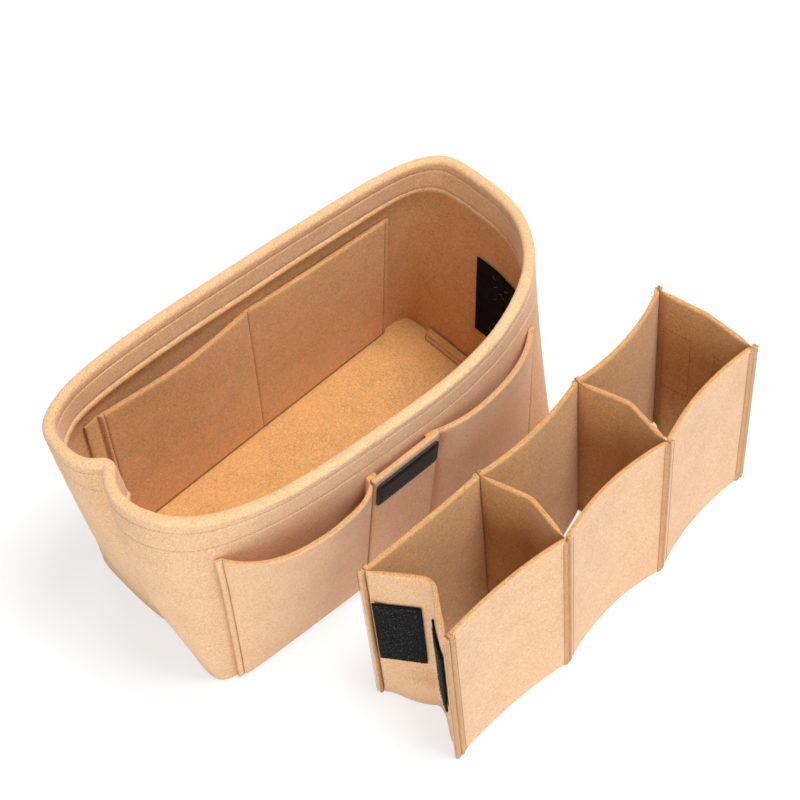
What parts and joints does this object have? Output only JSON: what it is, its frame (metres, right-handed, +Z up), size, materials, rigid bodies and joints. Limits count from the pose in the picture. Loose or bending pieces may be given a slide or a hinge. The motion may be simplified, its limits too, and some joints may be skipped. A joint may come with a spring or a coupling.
{
  "type": "purse organizer insert",
  "caption": "Soft felt handbag organizer: an open tub with slip pockets outside and inside, hook and loop patches, and a loose folding divider with open compartments.",
  "frame": {"origin": "middle of the underside of the tub's base", "axes": "+X along the tub's length to the right, +Y from the pocketed front to the back, +Z up"},
  "size_m": [0.3291, 0.264, 0.155],
  "materials": {
    "tub_felt": "matte pressed felt",
    "hem_felt": "matte pressed felt, turned and stitched",
    "divider_felt": "matte pressed felt",
    "tape": "black hook and loop tape",
    "label_leather": "black grained leather, bare"
  },
  "bodies": {
    "tub": {"base_panel": "tub_felt", "right_end_wall": "tub_felt", "back_wall": "tub_felt", "left_end_wall": "tub_felt", "front_wall": "tub_felt", "rim_hem": "hem_felt", "right_floor_welt": "tub_felt", "left_floor_welt": "tub_felt", "inner_pocket": "tub_felt", "front_pocket_left": "tub_felt", "label_panel": "tub_felt", "front_pocket_right": "tub_felt", "label_patch": "label_leather", "right_loop_back": "tape", "left_loop_back": "tape", "right_loop_front": "tape", "left_loop_front": "tape"},
    "divider_back": {"back_panel_1": "divider_felt", "back_panel_2": "divider_felt", "back_panel_3": "divider_felt", "left_end_back_tab": "divider_felt", "right_end_back_tab": "divider_felt"},
    "left_end_back": {"left_end_back_leaf": "divider_felt", "left_end_back_hook": "tape"},
    "left_end_front": {"left_end_front_leaf": "divider_felt", "left_end_front_hook": "tape"},
    "partition_1_back": {"partition_1_back_leaf": "divider_felt"},
    "partition_1_front": {"partition_1_front_leaf": "divider_felt"},
    "partition_2_back": {"partition_2_back_leaf": "divider_felt"},
    "partition_2_front": {"partition_2_front_leaf": "divider_felt"},
    "right_end_back": {"right_end_back_leaf": "divider_felt", "right_end_back_hook": "tape"},
    "right_end_front": {"right_end_front_leaf": "divider_felt", "right_end_front_hook": "tape"},
    "divider_front": {"front_panel_1": "divider_felt", "front_panel_2": "divider_felt", "front_panel_3": "divider_felt", "left_end_front_tab": "divider_felt", "right_end_front_tab": "divider_felt"}
  },
  "joints": [
    {"name": "divider_lift", "type": "slide", "parent": "tub", "child": "divider_back", "axis": [0, 0, 1], "range_m": [0, 0.2]},
    {"name": "divider_fold", "type": "hinge", "parent": "divider_back", "child": "partition_2_back", "pos_m": [0.09713, -0.11553, 0], "axis": [0, 0, 1], "range_deg": [0, 37.7]},
    {"name": "left_end_back_seam", "type": "hinge", "parent": "divider_back", "child": "left_end_back", "pos_m": [-0.06307, -0.13039, 0], "axis": [0, 0, 1], "range_deg": [0, 19.7]},
    {"name": "partition_1_back_seam", "type": "hinge", "parent": "divider_back", "child": "partition_1_back", "pos_m": [0.01731, -0.1259, 0], "axis": [0, 0, 1], "range_deg": [0, 35.2]},
    {"name": "right_end_back_seam", "type": "hinge", "parent": "divider_back", "child": "right_end_back", "pos_m": [0.17599, -0.09934, 0], "axis": [0, 0, 1], "range_deg": [0, 46.3]},
    {"name": "left_end_crease", "type": "hinge", "parent": "left_end_back", "child": "left_end_front", "pos_m": [-0.04227, -0.15614, 0], "axis": [0, 0, 1], "range_deg": [-39.4, 0]},
    {"name": "partition_1_crease", "type": "hinge", "parent": "partition_1_back", "child": "partition_1_front", "pos_m": [0.02622, -0.15371, 0], "axis": [0, 0, 1], "range_deg": [-70.4, 0]},
    {"name": "partition_2_crease", "type": "hinge", "parent": "partition_2_back", "child": "partition_2_front", "pos_m": [0.10613, -0.14459, 0], "axis": [0, 0, 1], "range_deg": [-75.4, 0]},
    {"name": "right_end_crease", "type": "hinge", "parent": "right_end_back", "child": "right_end_front", "pos_m": [0.18108, -0.12992, 0], "axis": [0, 0, 1], "range_deg": [-92.6, 0]},
    {"name": "front_row_seam", "type": "hinge", "parent": "partition_2_front", "child": "divider_front", "pos_m": [0.10116, -0.17459, 0], "axis": [0, 0, 1], "range_deg": [0, 39]}
  ],
  "couplings": [
    {"joint": "left_end_back_seam", "follows": "divider_fold", "ratio": 0.522},
    {"joint": "partition_1_back_seam", "follows": "divider_fold", "ratio": 0.933},
    {"joint": "right_end_back_seam", "follows": "divider_fold", "ratio": 1.228},
    {"joint": "left_end_crease", "follows": "divider_fold", "ratio": -1.044},
    {"joint": "partition_1_crease", "follows": "divider_fold", "ratio": -1.866},
    {"joint": "partition_2_crease", "follows": "divider_fold", "ratio": -2},
    {"joint": "right_end_crease", "follows": "divider_fold", "ratio": -2.456},
    {"joint": "front_row_seam", "follows": "divider_fold", "ratio": 1.034}
  ]
}
